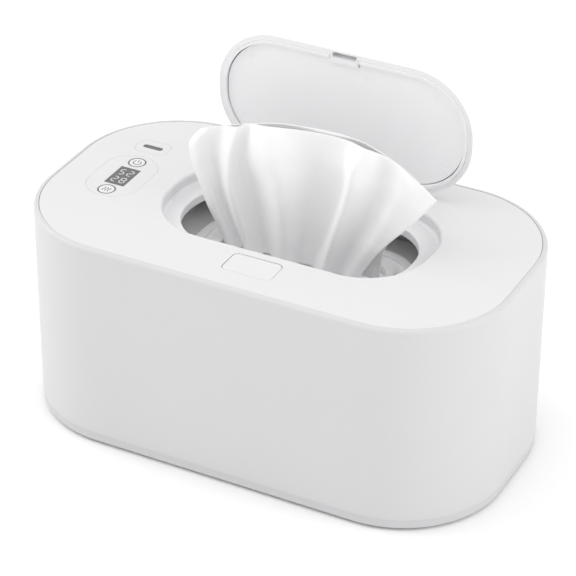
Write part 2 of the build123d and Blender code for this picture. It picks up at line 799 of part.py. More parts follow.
with BuildPart() as hinge_pin:
    with BuildSketch(Plane.YZ.offset(well_x - bay_half_width - bay_cheek + fit_gap)):
        with Locations((hinge_y, hinge_z)):
            Circle(hinge_pin_radius)
    extrude(amount=2 * (bay_half_width + bay_cheek - fit_gap))


def coil_spring(foot, direction, coil_radius, length, turns):
    """Round-wire coil that starts at foot and runs along direction; returns the finished part."""
    with BuildPart() as coil:
        with BuildLine() as path:
            Helix(length / turns, length, coil_radius, center=foot, direction=direction)
        with BuildSketch(Plane(origin=path.line @ 0, z_dir=path.line % 0)):
            Circle(spring_wire)
        sweep(is_frenet=True)
    return coil


lid_spring = coil_spring(
    (well_x - lid_spring_length / 2, hinge_y, hinge_z),
    (1, 0, 0),
    lid_spring_radius,
    lid_spring_length,
    spring_turns,
)

# ------------------------------------------------------------------ release button and latch
button_bottom = body_height - button_height
button_cavity_top = body_height - button_skin
with BuildPart() as release_button:
    with BuildSketch(Plane.XY.offset(button_bottom)):
        with Locations((well_x, button_y)):
            RectangleRounded(button_length, button_width, button_corner)
    extrude(amount=button_height)
    fillet(release_button.faces().sort_by(Axis.Z)[-1].edges(), button_edge_round)
    with BuildSketch(Plane.XY.offset(button_bottom)):
        with Locations((well_x, button_y)):
            Rectangle(button_length + 2 * button_tab, button_tab_width)
    extrude(amount=button_tab_height)
    with BuildSketch(Plane.XY.offset(button_bottom)):
        with Locations((well_x, button_y)):
            Rectangle(button_length - 2 * button_skin, button_width - 2 * button_skin)
    extrude(amount=button_height - button_skin, mode=Mode.SUBTRACT)
    with BuildSketch(Plane.YZ.offset(well_x - wedge_half_width)):
        with BuildLine():
            Polyline(
                (wedge_top_y, button_cavity_top),
                (wedge_top_y, wedge_top),
                (wedge_foot_y, wedge_bottom),
                (wedge_back_y, wedge_bottom),
                (wedge_back_y, button_cavity_top),
                close=True,
            )
        make_face()
    extrude(amount=2 * wedge_half_width)

latch_top_y = wedge_top_y - 2 * fit_gap
latch_foot_y = wedge_foot_y - 2 * fit_gap
with BuildPart() as latch_slider:
    with BuildSketch(Plane.YZ.offset(well_x - latch_half_width)):
        with BuildLine():
            Polyline(
                (latch_front_y, latch_underside),
                (latch_front_y, wedge_top),
                (latch_top_y, wedge_top),
                (latch_foot_y, wedge_bottom),
                (latch_post_y, wedge_bottom),
                (latch_post_y, latch_arm_underside + latch_arm_height),
                (hook_front, latch_arm_underside + latch_arm_height),
                (hook_front, hook_top),
                (hook_rear, hook_top),
                (hook_rear, latch_arm_underside),
                (latch_post_y + latch_post_thickness, latch_arm_underside),
                (latch_post_y + latch_post_thickness, latch_underside),
                close=True,
            )
        make_face()
    extrude(amount=2 * latch_half_width)
    # window for the button's wedge
    block(
        (well_x - wedge_half_width - fit_gap, latch_foot_y, latch_underside),
        (well_x + wedge_half_width + fit_gap, latch_post_y, wedge_top),
        mode=Mode.SUBTRACT,
    )

with BuildPart() as latch_housing:
    block(
        (well_x - housing_half_width - housing_wall, housing_front_y, housing_underside),
        (well_x + housing_half_width + housing_wall, well_front - well_wall, cover_underside - seat_gap),
    )
    block(
        (well_x - housing_half_width, housing_front_y + housing_wall, housing_floor_top),
        (well_x + housing_half_width, well_front - well_wall, cover_underside),
        mode=Mode.SUBTRACT,
    )
    # rails beside the slider
    for side in (-1, 1):
        rail = well_x + side * (latch_half_width + fit_gap + housing_wall / 4)
        with Locations((rail, (latch_front_y + latch_post_y) / 2, housing_floor_top + housing_wall / 2)):
            Box(housing_wall / 2, latch_post_y - latch_front_y, housing_wall)
    # screw ears
    with BuildSketch(Plane.XY.offset(housing_underside)):
        for x, y in housing_posts:
            with Locations((x, y)):
                Circle(post_radius)
            with Locations(((x + math.copysign(post_radius, well_x - x) + x) / 2, y)):
                Rectangle(post_radius, 2 * post_radius)
    extrude(amount=housing_wall)
    with BuildSketch(Plane.XY.offset(housing_underside)):
        with Locations(housing_posts):
            Circle(screw_radius + pin_gap)
    extrude(amount=housing_wall, mode=Mode.SUBTRACT)

spring_seat = spring_wire + spring_end_gap
button_springs_height = button_cavity_top - housing_floor_top - 2 * spring_seat
with BuildPart() as button_springs:
    for side in (-1, 1):
        foot = (
            well_x + side * button_spring_place,
            button_y,
            housing_floor_top + spring_seat,
        )
        add(coil_spring(foot, (0, 0, 1), button_spring_radius, button_springs_height, spring_turns).part)

latch_spring_length = latch_front_y - housing_front_y - housing_wall - 2 * spring_seat
latch_spring = coil_spring(
    (well_x, housing_front_y + housing_wall + spring_seat, (latch_underside + wedge_top) / 2),
    (0, 1, 0),
    button_spring_radius,
    latch_spring_length,
    latch_spring_turns,
)

# ------------------------------------------------------------------ controls
with BuildPart() as control_panel:
    with BuildSketch(Plane.XY.offset(body_height - panel_thickness)):
        with Locations((panel_x, panel_y)):
            RectangleRounded(panel_width, panel_length, panel_corner)
        with Locations((key_x, power_key_y), (key_x, heat_key_y)):
            Circle(key_hole_radius, mode=Mode.SUBTRACT)
        with Locations((display_x, display_y)):
            RectangleRounded(
                display_width + 2 * panel_gap,
                display_length + 2 * panel_gap,
                display_corner,
                mode=Mode.SUBTRACT,
            )
    extrude(amount=panel_thickness)

with BuildPart() as display_window:
    with BuildSketch(Plane.XY.offset(body_height - panel_thickness)):
        with Locations((display_x, display_y)):
            RectangleRounded(display_width, display_length, display_corner)
    extrude(amount=panel_thickness)

with BuildPart() as indicator_frame:
    with BuildSketch(Plane.XY.offset(body_height - indicator_frame_thickness)):
        with Locations((indicator_x, indicator_y)):
            RectangleRounded(indicator_frame_length, indicator_frame_width, indicator_frame_corner)
            SlotOverall(
                indicator_length + 2 * panel_gap, indicator_width + 2 * panel_gap, mode=Mode.SUBTRACT
            )
    extrude(amount=indicator_frame_thickness)

with BuildPart() as indicator_lens:
    with BuildSketch(Plane.XY.offset(cover_underside)):
        with Locations((indicator_x, indicator_y)):
            SlotOverall(indicator_length, indicator_width)
    extrude(amount=cover_thickness - seam_gap)


def key_cap(y):
    """Round push key with a flange under the cover and a stem down to its switch."""
    flange_top = cover_underside - fit_gap
    with BuildPart() as key:
        with BuildSketch(Plane.XY.offset(flange_top - key_flange_height)):
            with Locations((key_x, y)):
                Circle(key_radius + key_flange)
        extrude(amount=key_flange_height)
        with BuildSketch(Plane.XY.offset(flange_top)):
            with Locations((key_x, y)):
                Circle(key_radius)
        extrude(amount=body_height - flange_top)
        with BuildSketch(Plane.XY.offset(flange_top - key_flange_height)):
            with Locations((key_x, y)):
                Circle(key_stem_radius)
        extrude(amount=-(flange_top - key_flange_height - switch_top - key_travel - seat_gap))
    return key


board_top = board_underside + board_thickness
switch_top = board_top + switch_height
power_key = key_cap(power_key_y)
heat_key = key_cap(heat_key_y)

with BuildPart() as electronics_tray:
    with BuildSketch(Plane.XY.offset(tray_underside)):
        with Locations(tray_middle):
            RectangleRounded(tray_right - tray_left, tray_rear - tray_front, tray_corner)
    extrude(amount=cover_underside - seat_gap - tray_underside)
    with BuildSketch(Plane.XY.offset(tray_floor_top)):
        with Locations(tray_middle):
            RectangleRounded(
                tray_right - tray_left - 2 * tray_wall,
                tray_rear - tray_front - 2 * tray_wall,
                tray_corner - tray_wall,
            )
    extrude(amount=cover_underside - tray_floor_top, mode=Mode.SUBTRACT)
    # pillars under the circuit board
    with BuildSketch(Plane.XY.offset(tray_floor_top)):
        with Locations((key_x, power_key_y), (key_x, heat_key_y)):
            Circle(post_radius)
    extrude(amount=board_underside - tray_floor_top - seat_gap)
    with BuildSketch(Plane.XY.offset(tray_underside)):
        with Locations(tray_posts):
            Circle(screw_radius + pin_gap)
    extrude(amount=tray_wall, mode=Mode.SUBTRACT)

board_length = tray_rear - tray_front - 2 * (tray_wall + board_margin)
board_left = tray_left + tray_wall + board_margin
board_right = tray_posts[0][0] - post_radius - fit_gap
with BuildPart() as circuit_board:
    with BuildSketch(Plane.XY.offset(board_underside)):
        with Locations(((board_left + board_right) / 2, tray_middle[1])):
            RectangleRounded(board_right - board_left, board_length, tray_corner - board_margin)
    extrude(amount=board_thickness)

with BuildPart() as tact_switches:
    with BuildSketch(Plane.XY.offset(board_top)):
        with Locations((key_x, power_key_y), (key_x, heat_key_y)):
            Rectangle(switch_size, switch_size)
    extrude(amount=switch_height)

with BuildPart() as display_module:
    with BuildSketch(Plane.XY.offset(board_top)):
        with Locations((display_x, display_y)):
            Rectangle(display_width - 2 * panel_gap, display_length - 2 * panel_gap)
    extrude(amount=body_height - panel_thickness - seat_gap - board_top)

with BuildPart() as cover_screws:
    for underside, places in ((tray_underside, tray_posts), (housing_underside, housing_posts)):
        with BuildSketch(Plane.XY.offset(underside - screw_head_height)):
            with Locations(places):
                Circle(screw_head_radius)
        extrude(amount=screw_head_height)
        with BuildSketch(Plane.XY.offset(underside)):
            with Locations(places):
                Circle(screw_radius)
        extrude(amount=cover_screw_length)

# ------------------------------------------------------------------ wipe standing in the outlet
# Fold lines of the sheet from left to right, each as: x and y at the foot; x, height above the top surface
# and y at the top; and how far the line bows backwards halfway up. Ridges bow towards the user, so their
# number is negative.
wipe_thickness = 1.2
wipe_foot = plate_bottom
fold_lines = [
    (-33.0, 2.0, -51.0, 28.0, 6.0, -1.0),
    (-25.0, 2.0, -38.0, 36.0, 7.0, 1.0),
    (-18.0, -1.0, -28.0, 40.0, 3.0, -2.5),
    (-11.0, 2.0, -21.0, 42.0, 7.0, 1.5),
    (0.0, -2.0, -12.0, 45.0, 1.0, -5.0),
    (9.0, 2.0, 14.0, 48.0, 7.0, 0.5),
    (20.0, -2.0, 38.0, 49.0, 0.0, -4.5),
    (29.0, 1.0, 50.0, 43.0, 5.0, -1.0),
    (42.0, 2.0, 73.0, 30.0, 3.0, -2.0),
]

with BuildPart() as wipe:
    for foot_x, foot_y, top_x, top_height, top_y, bow in fold_lines:
        rise = Vector(top_x - foot_x, 0, body_height + top_height - wipe_foot)
        fold_plane = Plane(
            origin=(foot_x, foot_y, wipe_foot), x_dir=rise, z_dir=rise.cross(Vector(0, 1, 0))
        )
        height = rise.length
        lean = (top_y - foot_y) * math.copysign(1, fold_plane.y_dir.Y)
        sway = bow * math.copysign(1, fold_plane.y_dir.Y)
        half = wipe_thickness / 2
        with BuildSketch(fold_plane):
            with BuildLine():
                Line((0, -half), (0, half))
                ThreePointArc((0, half), (height / 2, lean / 2 + sway + half), (height, lean + half))
                Line((height, lean + half), (height, lean - half))
                ThreePointArc(
                    (height, lean - half), (height / 2, lean / 2 + sway - half), (0, -half)
                )
            make_face()
    loft(ruled=True)

# ------------------------------------------------------------------ write every piece
pieces = {
    "outer_shell": outer_shell,
    "base_pan": base_pan,
    "rubber_feet": rubber_feet,
    "base_screws": base_screws,
    "inner_tub": inner_tub,
    "chamber_seal": chamber_seal,
    "heater_plate": heater_plate,
    "heater_film": heater_film,
    "thermostat": thermostat,
    "thermal_fuse": thermal_fuse,
    "insulation_pad": insulation_pad,
    "insulation_sleeve": insulation_sleeve,
    "dc_inlet": dc_inlet,
    "wipe_stack": wipe_stack,
    "press_plate": press_plate,
    "top_cover": top_cover,
    "outlet_frame": outlet_frame,
    "flip_lid": flip_lid,
    "lid_seal": lid_seal,
    "lid_panel": lid_panel,
    "lid_catch": lid_catch,
    "hinge_pin": hinge_pin,
    "lid_spring": lid_spring,
    "release_button": release_button,
    "latch_slider": latch_slider,
    "latch_housing": latch_housing,
    "button_springs": button_springs,
    "latch_spring": latch_spring,
    "control_panel": control_panel,
    "display_window": display_window,
    "indicator_frame": indicator_frame,
    "indicator_lens": indicator_lens,
    "power_key": power_key,
    "heat_key": heat_key,
    "electronics_tray": electronics_tray,
    "circuit_board": circuit_board,
    "tact_switches": tact_switches,
    "display_module": display_module,
    "cover_screws": cover_screws,
    "wipe": wipe,
}
for name, piece in pieces.items():
    piece.part.label = name
    export_step(piece.part, f"parts/{name}.step")
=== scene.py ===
import math

import bmesh
import bpy
from mathutils import Matrix, Vector, noise


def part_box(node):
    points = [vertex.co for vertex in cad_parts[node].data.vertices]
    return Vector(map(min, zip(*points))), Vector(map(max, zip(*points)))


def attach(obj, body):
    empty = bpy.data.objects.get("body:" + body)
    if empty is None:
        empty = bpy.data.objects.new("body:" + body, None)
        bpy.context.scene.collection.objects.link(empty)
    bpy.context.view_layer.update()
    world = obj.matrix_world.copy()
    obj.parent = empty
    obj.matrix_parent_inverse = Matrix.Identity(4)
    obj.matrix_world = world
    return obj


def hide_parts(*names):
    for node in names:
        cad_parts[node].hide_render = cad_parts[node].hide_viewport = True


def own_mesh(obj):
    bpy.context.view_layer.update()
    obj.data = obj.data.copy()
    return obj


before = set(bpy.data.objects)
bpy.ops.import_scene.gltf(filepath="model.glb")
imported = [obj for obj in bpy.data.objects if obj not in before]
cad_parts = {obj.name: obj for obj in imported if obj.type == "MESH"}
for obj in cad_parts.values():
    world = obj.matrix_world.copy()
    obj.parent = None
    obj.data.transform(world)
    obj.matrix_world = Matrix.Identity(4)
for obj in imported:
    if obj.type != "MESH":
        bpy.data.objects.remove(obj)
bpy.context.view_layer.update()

# ---------------------------------------------------------------- camera
# A long lens stands in front of the warmer's right half and looks down on it, with the whole casing and
# the open lid in the frame. Angles are about the object's own axes; sizes are in metres.
camera_azimuth = math.radians(27.09)
camera_elevation = math.radians(32.02)
camera_roll = math.radians(0.354)
camera_distance = 1.2012
camera_target = Vector((-0.0007, 0.0, 0.0699))
picture_width_px = 576
focal_length_px = 2538.1
centre_offset_px = 2.0
sensor_width_mm = 36.0

backwards = Vector((
    math.sin(camera_azimuth) * math.cos(camera_elevation),
    -math.cos(camera_azimuth) * math.cos(camera_elevation),
    math.sin(camera_elevation),
))
rightwards = Vector((math.cos(camera_azimuth), math.sin(camera_azimuth), 0.0))
upwards = backwards.cross(rightwards)
roll = Matrix.Rotation(camera_roll, 3, backwards)
turn = Matrix((roll @ rightwards, roll @ upwards, backwards)).transposed()
camera = bpy.data.objects.new("camera", bpy.data.cameras.new("camera"))
camera.data.sensor_width = sensor_width_mm
camera.data.lens = focal_length_px / picture_width_px * sensor_width_mm
camera.data.shift_x = centre_offset_px / picture_width_px
camera.matrix_world = Matrix.Translation(camera_target + backwards * camera_distance) @ turn.to_4x4()
bpy.context.scene.collection.objects.link(camera)
bpy.context.scene.camera = camera

# ---------------------------------------------------------------- table top and light
# A white table top that runs past the picture on every side, and a white room that does most of the
# lighting. Three large soft lamps help it: the strongest at the left, one at the right and one overhead.
floor_size = 6.0
floor_colour = (0.97, 0.97, 0.97, 1)
room_colour = (1.0, 1.0, 1.0, 1)
room_strength = 0.86


def soft_lamp(name, place, aim, size, power):
    """Square lamp at place, facing aim."""
    lamp = bpy.data.objects.new(name, bpy.data.lights.new(name, "AREA"))
    lamp.data.size = size
    lamp.data.energy = power
    lamp.location = place
    lamp.rotation_euler = (Vector(place) - Vector(aim)).to_track_quat("Z", "Y").to_euler()
    bpy.context.scene.collection.objects.link(lamp)
    return lamp


def link_new(name, shape):
    """Puts a finished bmesh into the scene as an object that stands at the origin."""
    mesh = bpy.data.meshes.new(name)
    shape.to_mesh(mesh)
    shape.free()
    piece = bpy.data.objects.new(name, mesh)
    bpy.context.scene.collection.objects.link(piece)
    return piece


def shader(name):
    """New material; returns it with its node tree and its surface shader."""
    material = bpy.data.materials.new(name)
    material.use_nodes = True
    tree = material.node_tree
    return material, tree, tree.nodes["Principled BSDF"]


shape = bmesh.new()
bmesh.ops.create_grid(shape, x_segments=2, y_segments=2, size=floor_size / 2)
floor = link_new("table_top", shape)
material, tree, surface = shader("table_white")
surface.inputs["Base Color"].default_value = floor_colour
surface.inputs["Roughness"].default_value = 0.9
surface.inputs["Specular IOR Level"].default_value = 0.1
floor.data.materials.append(material)

room = bpy.data.worlds.new("room")
room.use_nodes = True
room.node_tree.nodes["Background"].inputs["Color"].default_value = room_colour
room.node_tree.nodes["Background"].inputs["Strength"].default_value = room_strength
bpy.context.scene.world = room
bpy.context.scene.view_settings.view_transform = "Standard"
lamp_aim = (0, 0, 0.08)
soft_lamp("lamp_right", (1.8, 0.1, 1.0), lamp_aim, 1.4, 11.0)
soft_lamp("lamp_left", (-1.8, -0.3, 1.1), lamp_aim, 1.4, 14.0)
soft_lamp("lamp_overhead", (0, -0.4, 2.4), lamp_aim, 2.0, 8.0)

# ---------------------------------------------------------------- casing
# Tall outer shell of white ABS, moulded in one piece with a fine satin spark finish; its colour is painted
# darker than the cover's, as painted shade on its sides. The base pan that closes it from below is the same
# plastic, painted a shade greyer still as painted shade under the shell's lower edge.
casing_white_painted_shade = (0.64, 0.64, 0.645, 1)
casing_drift_painted_shade = (0.62, 0.62, 0.63, 1)
base_grey_painted_shade = (0.60, 0.60, 0.61, 1)
base_drift_painted_shade = (0.58, 0.58, 0.59, 1)


def moulded_finish():
    """Node group for moulded plastic: slow drift of tone, and the fine grain left by the mould."""
    group = bpy.data.node_groups.new("moulded_finish", "ShaderNodeTree")
    face = group.interface
    face.new_socket("Colour", in_out="INPUT", socket_type="NodeSocketColor")
    face.new_socket("Shade", in_out="INPUT", socket_type="NodeSocketColor")
    face.new_socket("Roughness", in_out="INPUT", socket_type="NodeSocketFloat")
    face.new_socket("Grain", in_out="INPUT", socket_type="NodeSocketFloat")
    face.new_socket("Colour", in_out="OUTPUT", socket_type="NodeSocketColor")
    face.new_socket("Roughness", in_out="OUTPUT", socket_type="NodeSocketFloat")
    face.new_socket("Height", in_out="OUTPUT", socket_type="NodeSocketFloat")
    nodes, links = group.nodes, group.links
    given = nodes.new("NodeGroupInput")
    result = nodes.new("NodeGroupOutput")
    place = nodes.new("ShaderNodeTexCoord")
    drift = nodes.new("ShaderNodeTexNoise")
    drift.inputs["Scale"].default_value = 14.0
    drift.inputs["Detail"].default_value = 2.0
    grain = nodes.new("ShaderNodeTexNoise")
    grain.inputs["Detail"].default_value = 3.0
    blend = nodes.new("ShaderNodeMix")
    blend.data_type = "RGBA"
    spread = nodes.new("ShaderNodeMapRange")
    spread.inputs["From Min"].default_value = 0.3
    spread.inputs["From Max"].default_value = 0.7
    spread.inputs["To Min"].default_value = -0.04
    spread.inputs["To Max"].default_value = 0.04
    total = nodes.new("ShaderNodeMath")
    links.new(place.outputs["Object"], drift.inputs["Vector"])
    links.new(place.outputs["Object"], grain.inputs["Vector"])
    links.new(given.outputs["Grain"], grain.inputs["Scale"])
    links.new(drift.outputs["Fac"], blend.inputs["Factor"])
    links.new(given.outputs["Colour"], blend.inputs["A"])
    links.new(given.outputs["Shade"], blend.inputs["B"])
    links.new(grain.outputs["Fac"], spread.inputs["Value"])
    links.new(given.outputs["Roughness"], total.inputs[0])
    links.new(spread.outputs["Result"], total.inputs[1])
    links.new(blend.outputs["Result"], result.inputs["Colour"])
    links.new(total.outputs["Value"], result.inputs["Roughness"])
    links.new(grain.outputs["Fac"], result.inputs["Height"])
    return group


moulded = moulded_finish()


def plastic(name, colour, shade, roughness=0.42, grain=1400.0, depth=0.00002):
    """Moulded plastic of that colour; grain is in waves per metre and depth is the grain's height."""
    material, tree, surface = shader(name)
    finish = tree.nodes.new("ShaderNodeGroup")
    finish.node_tree = moulded
    finish.inputs["Colour"].default_value = colour
    finish.inputs["Shade"].default_value = shade
    finish.inputs["Roughness"].default_value = roughness
    finish.inputs["Grain"].default_value = grain
    bump = tree.nodes.new("ShaderNodeBump")
    bump.inputs["Strength"].default_value = 0.6
    bump.inputs["Distance"].default_value = depth
    tree.links.new(finish.outputs["Colour"], surface.inputs["Base Color"])
    tree.links.new(finish.outputs["Roughness"], surface.inputs["Roughness"])
    tree.links.new(finish.outputs["Height"], bump.inputs["Height"])
    tree.links.new(bump.outputs["Normal"], surface.inputs["Normal"])
    return material


def dress(material, *nodes):
    """Gives CAD nodes their finish."""
    for node in nodes:
        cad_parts[node].material_slots[0].material = material


# The casing and base colours carry painted shade: darker sides, and a darker band under the shell.
dress(plastic("casing_plastic_painted_shade", casing_white_painted_shade, casing_drift_painted_shade), "outer_shell")
dress(plastic("base_plastic_painted_shade", base_grey_painted_shade, base_drift_painted_shade, roughness=0.5), "base_pan")

# ---------------------------------------------------------------- feet and screws
# Four soft rubber feet are glued into the base, and four zinc-plated screws hold it to the shell. All
# the metals share one finish with a faint grain.
feet_grey = (0.16, 0.16, 0.165, 1)
feet_shade = (0.12, 0.12, 0.125, 1)
steel_colour = (0.62, 0.62, 0.61, 1)
steel_shade = (0.50, 0.50, 0.50, 1)


def metal(name, colour, shade, roughness=0.3, grain=900.0):
    """Plain metal part with a faint grain."""
    material = plastic(name, colour, shade, roughness, grain, depth=0.00001)
    material.node_tree.nodes["Principled BSDF"].inputs["Metallic"].default_value = 1.0
    return material


dress(plastic("feet_rubber", feet_grey, feet_shade, roughness=0.75, grain=2200.0), "rubber_feet")
steel = metal("zinc_steel", steel_colour, steel_shade)
dress(steel, "base_screws", "cover_screws", "hinge_pin", "thermal_fuse")

# ---------------------------------------------------------------- tub and heater
# The tub is moulded in white PP and hangs in the shell by its flange. Below it lie the aluminium
# spreader, the amber heater film and the foam; the seal on its rim is white silicone.
tub_white = (0.93, 0.93, 0.935, 1)
tub_shade = (0.91, 0.91, 0.92, 1)
seal_white = (0.88, 0.88, 0.885, 1)
seal_shade = (0.86, 0.86, 0.87, 1)
spreader_colour = (0.72, 0.72, 0.73, 1)
film_amber = (0.42, 0.16, 0.03, 1)
film_shade = (0.36, 0.12, 0.02, 1)
foam_grey = (0.40, 0.40, 0.41, 1)
foam_shade = (0.30, 0.30, 0.31, 1)
black = (0.02, 0.02, 0.021, 1)
black_shade = (0.03, 0.03, 0.031, 1)

dress(plastic("tub_plastic", tub_white, tub_shade, roughness=0.38), "inner_tub")
silicone = plastic("seal_silicone", seal_white, seal_shade, roughness=0.6)
dress(silicone, "chamber_seal", "lid_seal")
dress(metal("spreader_aluminium", spreader_colour, steel_shade, roughness=0.4), "heater_plate")
dress(plastic("heater_film_amber", film_amber, film_shade, roughness=0.25), "heater_film")
foam = plastic("insulation_foam", foam_grey, foam_shade, roughness=0.95, grain=700.0, depth=0.0004)
dress(foam, "insulation_pad", "insulation_sleeve")
black_plastic = plastic("black_plastic", black, black_shade, roughness=0.5)
dress(black_plastic, "thermostat", "dc_inlet", "tact_switches", "display_module")

# ---------------------------------------------------------------- stack of wipes
# Folded wipes lie flat in the tub, one on another, damp and soft at their edges. The stack is built up
# fold by fold, and every fold bulges a little; it sinks as the plate on top of it goes down.
fold_count = 22
fold_bulge = 0.985
fold_corner = 0.010
corner_steps = 6
cloth_white = (0.93, 0.93, 0.935, 1)
cloth_shade = (0.90, 0.90, 0.91, 1)


def nonwoven(name, colour, shade, fibre=2600.0):
    """Damp non-woven cloth: matted fibres that lie every way, with a soft sheen."""
    material, tree, surface = shader(name)
    place = tree.nodes.new("ShaderNodeTexCoord")
    stretch = tree.nodes.new("ShaderNodeMapping")
    stretch.inputs["Scale"].default_value = (1.0, 1.0, 0.35)
    fibres = tree.nodes.new("ShaderNodeTexNoise")
    fibres.inputs["Scale"].default_value = fibre
    fibres.inputs["Detail"].default_value = 4.0
    fibres.inputs["Distortion"].default_value = 1.2
    cloud = tree.nodes.new("ShaderNodeTexNoise")
    cloud.inputs["Scale"].default_value = 130.0
    cloud.inputs["Detail"].default_value = 3.0
    tone = tree.nodes.new("ShaderNodeMix")
    tone.data_type = "RGBA"
    tone.inputs["A"].default_value = colour
    tone.inputs["B"].default_value = shade
    bump = tree.nodes.new("ShaderNodeBump")
    bump.inputs["Strength"].default_value = 0.35
    bump.inputs["Distance"].default_value = 0.00006
    tree.links.new(place.outputs["Object"], stretch.inputs["Vector"])
    tree.links.new(stretch.outputs["Vector"], fibres.inputs["Vector"])
    tree.links.new(place.outputs["Object"], cloud.inputs["Vector"])
    tree.links.new(cloud.outputs["Fac"], tone.inputs["Factor"])
    tree.links.new(tone.outputs["Result"], surface.inputs["Base Color"])
    tree.links.new(fibres.outputs["Fac"], bump.inputs["Height"])
    tree.links.new(bump.outputs["Normal"], surface.inputs["Normal"])
    surface.inputs["Roughness"].default_value = 0.85
    surface.inputs["Specular IOR Level"].default_value = 0.25
    surface.inputs["Sheen Weight"].default_value = 0.25
    surface.inputs["Subsurface Weight"].default_value = 0.25
    surface.inputs["Subsurface Radius"].default_value = (1.0, 1.0, 1.0)
    surface.inputs["Subsurface Scale"].default_value = 0.002
    return material


low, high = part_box("wipe_stack")
fold_height = (high.z - low.z) / fold_count
shape = bmesh.new()
bmesh.ops.create_grid(shape, x_segments=1, y_segments=1, size=0.5)
bmesh.ops.scale(shape, vec=(high.x - low.x, high.y - low.y, 1), verts=shape.verts)
bmesh.ops.translate(shape, vec=(0, 0, low.z), verts=shape.verts)
bmesh.ops.bevel(
    shape,
    geom=list(shape.verts),
    offset=fold_corner,
    affect="VERTICES",
    segments=corner_steps,
    profile=0.5,
    material=-1,
)
layer = list(shape.faces)
for step in range(2 * fold_count):
    raised = bmesh.ops.extrude_face_region(shape, geom=layer)["geom"]
    bmesh.ops.delete(shape, geom=layer if step else [], context="FACES")
    layer = [item for item in raised if isinstance(item, bmesh.types.BMFace)]
    edge = list({corner for face in layer for corner in face.verts})
    bmesh.ops.translate(shape, vec=(0, 0, fold_height / 2), verts=edge)
    swell = fold_bulge if step % 2 else 1 / fold_bulge
    bmesh.ops.scale(shape, vec=(swell, swell, 1), verts=edge)
bmesh.ops.recalc_face_normals(shape, faces=shape.faces)
stack = link_new("wipe_stack_folds", shape)
stack.data.materials.append(nonwoven("stack_cloth", cloth_white, cloth_shade))
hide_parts("wipe_stack")
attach(stack, "casing")
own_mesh(stack)

# ---------------------------------------------------------------- press plate
# A flat ring of white PP lies on the wipes and keeps them flat and damp; its groove stiffens it.
plate_white = (0.86, 0.86, 0.865, 1)
plate_shade = (0.83, 0.83, 0.84, 1)

dress(plastic("press_plate_plastic", plate_white, plate_shade, roughness=0.36), "press_plate")

# ---------------------------------------------------------------- top cover and outlet frame
# The cover is white ABS like the casing. The outlet frame below its well is moulded apart; its paler colour
# is painted light that lifts the shade of its recess.
cover_white = (0.725, 0.725, 0.73, 1)
cover_shade = (0.705, 0.705, 0.715, 1)
# The frame's colours are painted paler than the cover, as painted light in its shaded recess.
frame_white_painted_light = (0.80, 0.80, 0.805, 1)
frame_drift_painted_light = (0.77, 0.77, 0.78, 1)
inner_white = (0.90, 0.90, 0.905, 1)
inner_shade = (0.87, 0.87, 0.88, 1)

dress(plastic("cover_plastic", cover_white, cover_shade, roughness=0.40), "top_cover")
dress(plastic("frame_plastic_painted_light", frame_white_painted_light, frame_drift_painted_light, roughness=0.40), "outlet_frame")
inner_plastic = plastic("inner_plastic", inner_white, inner_shade, roughness=0.5)
dress(inner_plastic, "electronics_tray", "latch_housing", "latch_slider")

# ---------------------------------------------------------------- control panel
# A thin white overlay lies flush in the cover. It holds a grey display window with two rows of plain
# numbers and two round keys, each with a printed ring; the sign for on and off is on the rear key and a
# sign for warmth on the front one.
control_white = (0.715, 0.715, 0.72, 1)
control_shade = (0.70, 0.70, 0.71, 1)
key_white = (0.80, 0.80, 0.805, 1)
window_grey = (0.135, 0.135, 0.14, 1)
window_shade = (0.12, 0.12, 0.125, 1)
board_green = (0.02, 0.12, 0.05, 1)
board_shade = (0.015, 0.09, 0.04, 1)
ink_grey = (0.045, 0.045, 0.05, 1)
ink_shade = (0.07, 0.07, 0.075, 1)
digit_light = (0.72, 0.72, 0.73, 1)
digit_shade = (0.66, 0.66, 0.67, 1)
ink_height = 0.00004
ink_sunk = 0.00002
ring_radius = 0.0040
ring_line = 0.00042
sign_line = 0.00042
round_steps = 48

control_plastic = plastic("control_plastic", control_white, control_shade, roughness=0.38)
dress(control_plastic, "control_panel", "indicator_frame")
dress(plastic("key_plastic", key_white, control_shade, roughness=0.38), "power_key", "heat_key")
dress(plastic("window_plastic", window_grey, window_shade, roughness=0.2, depth=0.000004), "display_window")
dress(plastic("board_resin", board_green, board_shade, roughness=0.35), "circuit_board")
ink = plastic("printed_ink", ink_grey, ink_shade, roughness=0.5, depth=0.000004)
lit = plastic("lit_digit", digit_light, digit_shade, roughness=0.5, depth=0.000004)


def arc_line(shape, centre, radius, line, start=0.0, sweep=2 * math.pi):
    """Adds a flat printed arc of that radius and line width to the shape."""
    whole = sweep >= 2 * math.pi
    first = Matrix.Rotation(start, 3, "Z")
    ends = [shape.verts.new(centre + first @ Vector((radius + side * line / 2, 0, 0))) for side in (-1, 1)]
    edge = shape.edges.new(ends)
    bmesh.ops.spin(
        shape,
        geom=[*ends, edge],
        cent=centre,
        axis=(0, 0, 1),
        angle=sweep,
        steps=round_steps if whole else round_steps // 2,
        use_merge=whole,
    )


def straight_line(shape, centre, length, line, angle=0.0):
    """Adds a flat printed bar with pointed ends, lying along X before its turn."""
    made = bmesh.ops.create_grid(shape, x_segments=2, y_segments=2, size=0.5)["verts"]
    for corner in made:
        if abs(corner.co.x) > 0.4 and abs(corner.co.y) > 0.4:
            corner.co.x -= math.copysign(line / 2 / length, corner.co.x)
    bmesh.ops.scale(shape, vec=(length, line, 1), verts=made)
    bmesh.ops.rotate(shape, cent=(0, 0, 0), matrix=Matrix.Rotation(angle, 3, "Z"), verts=made)
    bmesh.ops.translate(shape, vec=centre, verts=made)


